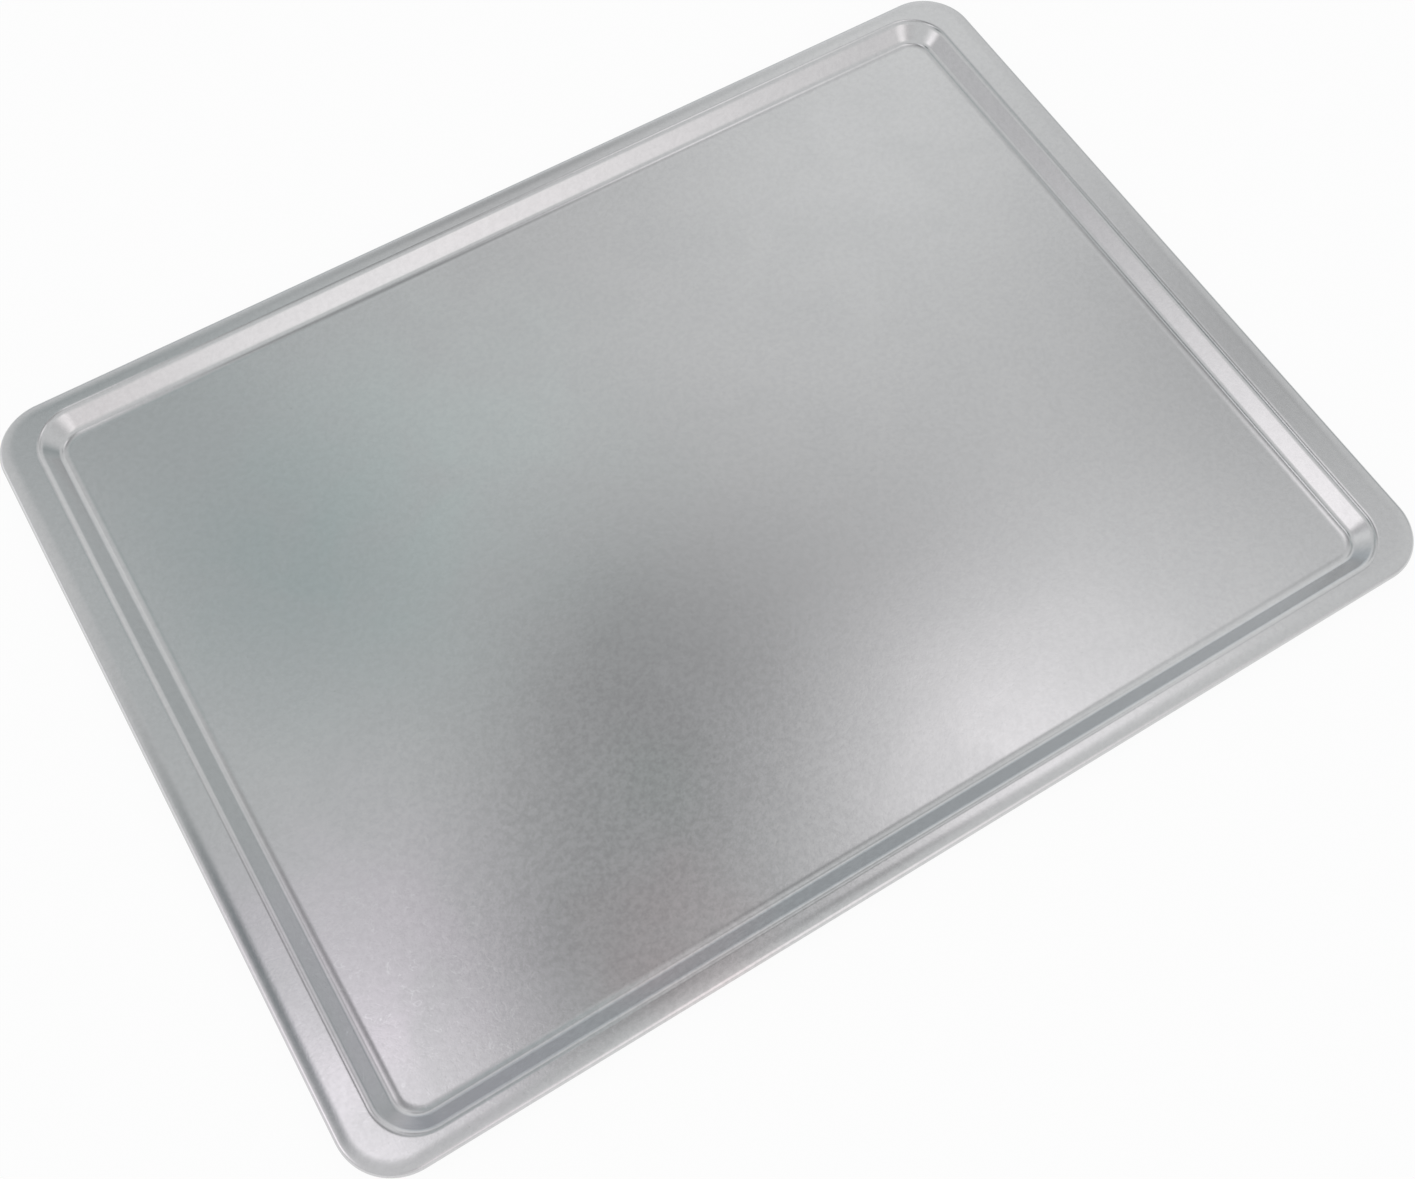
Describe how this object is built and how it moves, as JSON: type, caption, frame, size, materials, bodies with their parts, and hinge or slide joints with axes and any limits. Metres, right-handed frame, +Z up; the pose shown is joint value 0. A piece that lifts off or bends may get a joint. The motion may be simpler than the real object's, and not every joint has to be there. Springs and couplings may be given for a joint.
{
  "type": "cookie sheet",
  "caption": "Shallow rectangular metal cookie sheet with rounded corners, a low sloped recess, a broad flat flange all round and a rolled, wire-stiffened rim.",
  "frame": {"origin": "centre of the floor's flat underside, which the sheet stands on", "axes": "+X along the length, +Y along the width, +Z up out of the recess"},
  "size_m": [0.438, 0.322, 0.007],
  "materials": {
    "sheet_metal": "satin light grey coated steel with a fine pebbled grain",
    "wire_steel": "drawn steel wire, dull"
  },
  "bodies": {
    "root": {"pressed_sheet": "sheet_metal", "rim_wire": "wire_steel"}
  },
  "joints": []
}
